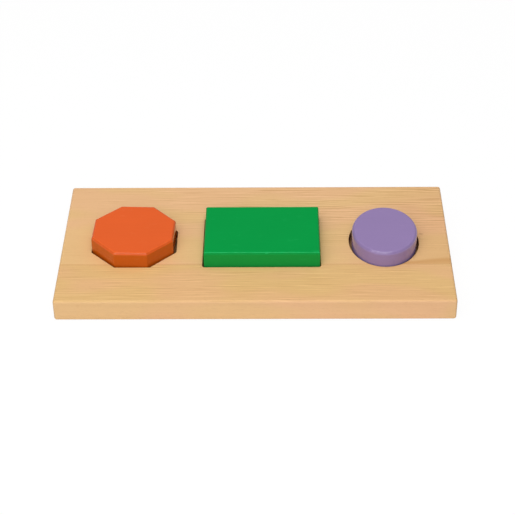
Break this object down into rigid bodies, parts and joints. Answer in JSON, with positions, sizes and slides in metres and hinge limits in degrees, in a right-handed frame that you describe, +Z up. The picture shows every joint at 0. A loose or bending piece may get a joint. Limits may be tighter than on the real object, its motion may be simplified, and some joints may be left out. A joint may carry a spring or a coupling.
{
  "type": "shape board",
  "caption": "Pale wooden board with shallow recesses that hold loose painted blocks, an octagon, a rectangle and an oval, which stand proud and lift out for shape matching.",
  "frame": {"origin": "middle of the board's underside, where it rests on a table", "axes": "+X along the board's length towards the oval, +Y across it to the edge away from the front stave, +Z up out of the recesses"},
  "size_m": [0.3, 0.15, 0.0303],
  "materials": {
    "front_wood": "clear satin on pale straight-grained wood",
    "rear_wood": "clear satin on pale straight-grained wood",
    "orange_paint": "satin orange paint on wood",
    "green_paint": "satin green paint on wood",
    "purple_paint": "satin purple paint on wood"
  },
  "bodies": {
    "board": {"front_stave": "front_wood", "rear_stave": "rear_wood"},
    "octagon": {"octagon_block": "orange_paint"},
    "rectangle": {"rectangle_block": "green_paint"},
    "oval": {"oval_block": "purple_paint"}
  },
  "joints": [
    {"name": "octagon_lift", "type": "slide", "parent": "board", "child": "octagon", "axis": [0, 0, 1], "range_m": [0, 0.04]},
    {"name": "rectangle_lift", "type": "slide", "parent": "board", "child": "rectangle", "axis": [0, 0, 1], "range_m": [0, 0.04]},
    {"name": "oval_lift", "type": "slide", "parent": "board", "child": "oval", "axis": [0, 0, 1], "range_m": [0, 0.04]}
  ]
}
